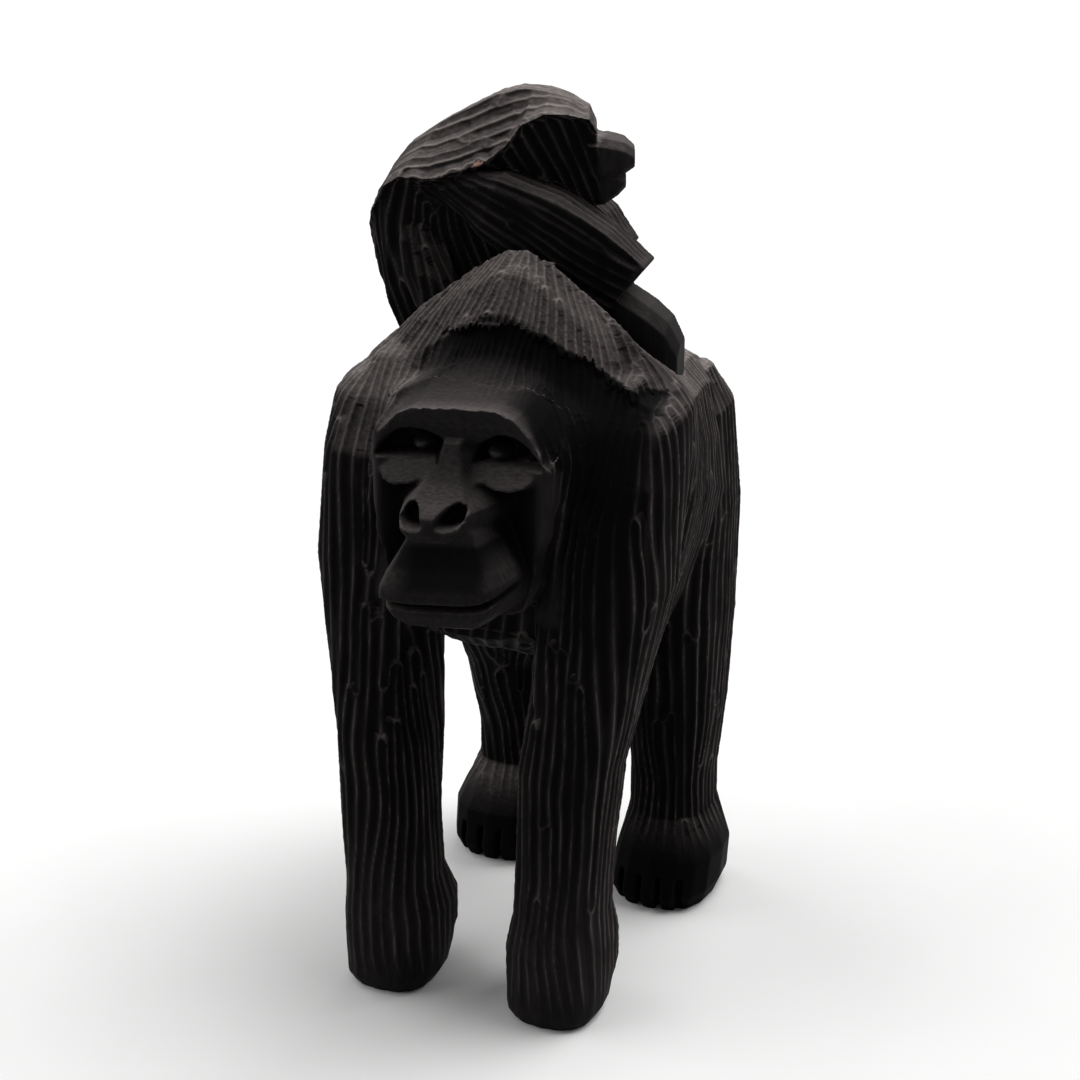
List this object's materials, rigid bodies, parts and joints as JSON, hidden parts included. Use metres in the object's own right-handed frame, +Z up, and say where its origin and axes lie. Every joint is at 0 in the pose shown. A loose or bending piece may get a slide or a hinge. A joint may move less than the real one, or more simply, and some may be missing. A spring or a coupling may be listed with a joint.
{
  "type": "wooden gorilla sculpture",
  "caption": "Black-stained carved wooden gorilla standing on its knuckles and feet, with its young lying across its back; a table-top ornament.",
  "frame": {"origin": "on the floor, under the middle of the figure's bounding box", "axes": "+Z up, -Y the way the adult faces, +X the adult's left side"},
  "size_m": [0.124, 0.165, 0.2965],
  "materials": {
    "stained_wood": "black stain over gouge-cut hardwood, dull satin, rubbed lighter on the ridges",
    "eye_wood": "smooth dark stain, satin",
    "dowel_wood": "bare turned hardwood"
  },
  "bodies": {
    "root": {"head": "stained_wood", "trunk": "stained_wood", "left_arm": "stained_wood", "right_arm": "stained_wood", "left_leg": "stained_wood", "right_leg": "stained_wood", "young_body": "stained_wood", "young_head": "stained_wood", "young_left_arm": "stained_wood", "young_right_arm": "stained_wood", "left_eye": "eye_wood", "right_eye": "eye_wood", "left_neck_dowel": "dowel_wood", "right_neck_dowel": "dowel_wood", "left_upper_shoulder_dowel": "dowel_wood", "left_lower_shoulder_dowel": "dowel_wood", "left_upper_hip_dowel": "dowel_wood", "left_lower_hip_dowel": "dowel_wood", "right_upper_shoulder_dowel": "dowel_wood", "right_lower_shoulder_dowel": "dowel_wood", "right_upper_hip_dowel": "dowel_wood", "right_lower_hip_dowel": "dowel_wood", "young_left_shoulder_dowel": "dowel_wood", "young_right_shoulder_dowel": "dowel_wood", "young_front_seat_dowel": "dowel_wood", "young_rear_seat_dowel": "dowel_wood", "young_neck_dowel": "dowel_wood"}
  },
  "joints": []
}
